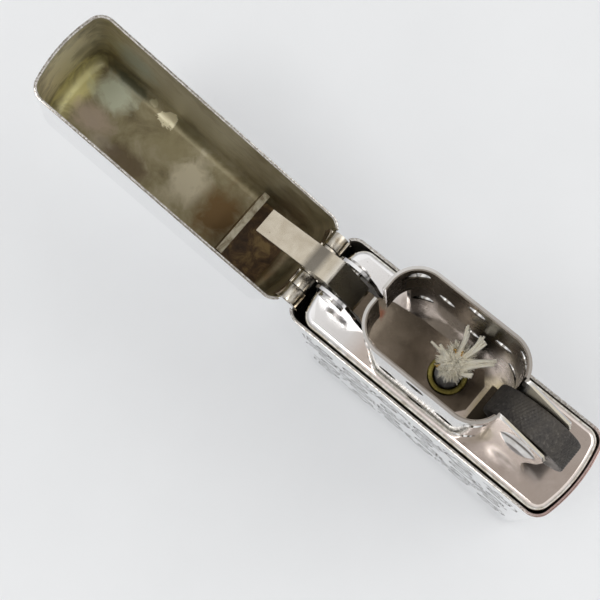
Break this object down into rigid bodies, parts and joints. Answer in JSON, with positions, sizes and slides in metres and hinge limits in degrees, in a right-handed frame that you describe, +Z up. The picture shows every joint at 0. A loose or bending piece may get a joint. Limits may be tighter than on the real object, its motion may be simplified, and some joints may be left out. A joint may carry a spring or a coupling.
{
  "type": "flip-top windproof lighter",
  "caption": "Flip-top windproof fuel lighter with a hinged metal lid, a lift-out insert, a perforated chimney, a cam, a wick and a knurled flint wheel.",
  "frame": {"origin": "centre of the flat base of the case", "axes": "+Z up, -X towards the hinge, -Y the engraved front face"},
  "size_m": [0.0812, 0.0126, 0.0547],
  "materials": {
    "chrome_shell": "polished, lightly worn",
    "hinge_steel": "satin, slightly tarnished",
    "pin_steel": "satin",
    "chrome_lid": "polished outside, stained inside",
    "stop_steel": "stained",
    "insert_steel": "polished stainless steel",
    "chimney_steel": "polished outside, sooted inside",
    "leaf_steel": "bright with heat tint",
    "cam_steel": "satin",
    "rivet_steel": "polished",
    "wheel_steel": "hardened, knurled",
    "eyelet_brass": "satin",
    "wick_cotton": "braided cotton, frayed",
    "wick_copper": "bright copper",
    "tube_brass": "satin",
    "flint_alloy": "matte",
    "plunger_brass": "satin",
    "spring_steel": "bright",
    "screw_brass": "knurled and slotted",
    "felt_wool": "pressed felt",
    "packing_rayon": "loose wadding"
  },
  "bodies": {
    "case": {"case_bottom": "chrome_shell", "hinge_lower_leaf": "hinge_steel", "hinge_pin": "pin_steel"},
    "lid": {"lid_shell": "chrome_lid", "hinge_upper_leaf": "hinge_steel", "lid_stop": "stop_steel"},
    "insert": {"insert_shell": "insert_steel", "chimney": "chimney_steel", "cam_spring": "leaf_steel", "cam_rivet": "rivet_steel", "wheel_rivet": "rivet_steel", "wick_eyelet": "eyelet_brass", "wick": "wick_cotton", "wick_wire": "wick_copper", "flint_tube": "tube_brass", "felt_pad": "felt_wool", "packing_1": "packing_rayon", "packing_2": "packing_rayon", "packing_3": "packing_rayon", "packing_4": "packing_rayon", "packing_5": "packing_rayon", "packing_6": "packing_rayon"},
    "cam_lever": {"cam": "cam_steel"},
    "wheel": {"flint_wheel": "wheel_steel"},
    "flint_feed": {"flint": "flint_alloy", "flint_plunger": "plunger_brass"},
    "spring": {"flint_spring": "spring_steel"},
    "screw": {"flint_screw": "screw_brass"}
  },
  "joints": [
    {"name": "lid_hinge", "type": "hinge", "parent": "case", "child": "lid", "pos_m": [-0.0192, 0, 0.03515], "axis": [0, -1, 0], "range_deg": [-162, 0]},
    {"name": "insert_slide", "type": "slide", "parent": "case", "child": "insert", "axis": [0, 0, 1], "range_m": [0, 0.033]},
    {"name": "cam_pivot", "type": "hinge", "parent": "insert", "child": "cam_lever", "pos_m": [-0.01415, 0, 0.0408], "axis": [0, -1, 0], "range_deg": [-74, 0]},
    {"name": "wheel_spin", "type": "hinge", "parent": "insert", "child": "wheel", "pos_m": [0.0112, 0, 0.0462], "axis": [0, 1, 0], "continuous": true},
    {"name": "flint_slide", "type": "slide", "parent": "insert", "child": "flint_feed", "axis": [0, 0, 1], "range_m": [-0.003, 0], "stiffness_N_per_m": 250, "springref_m": 0.004, "deforming": ["flint_spring"]},
    {"name": "screw_travel", "type": "slide", "parent": "insert", "child": "spring", "axis": [0, 0, 1], "range_m": [-0.0012, 0]},
    {"name": "screw_turn", "type": "hinge", "parent": "spring", "child": "screw", "pos_m": [0.0112, 0, 0.003], "axis": [0, 0, 1], "range_deg": [-720, 0]}
  ],
  "couplings": [
    {"joint": "cam_pivot", "follows": "lid_hinge", "ratio": 0.4567},
    {"joint": "screw_turn", "follows": "screw_travel", "rad_per_m": 10471}
  ]
}
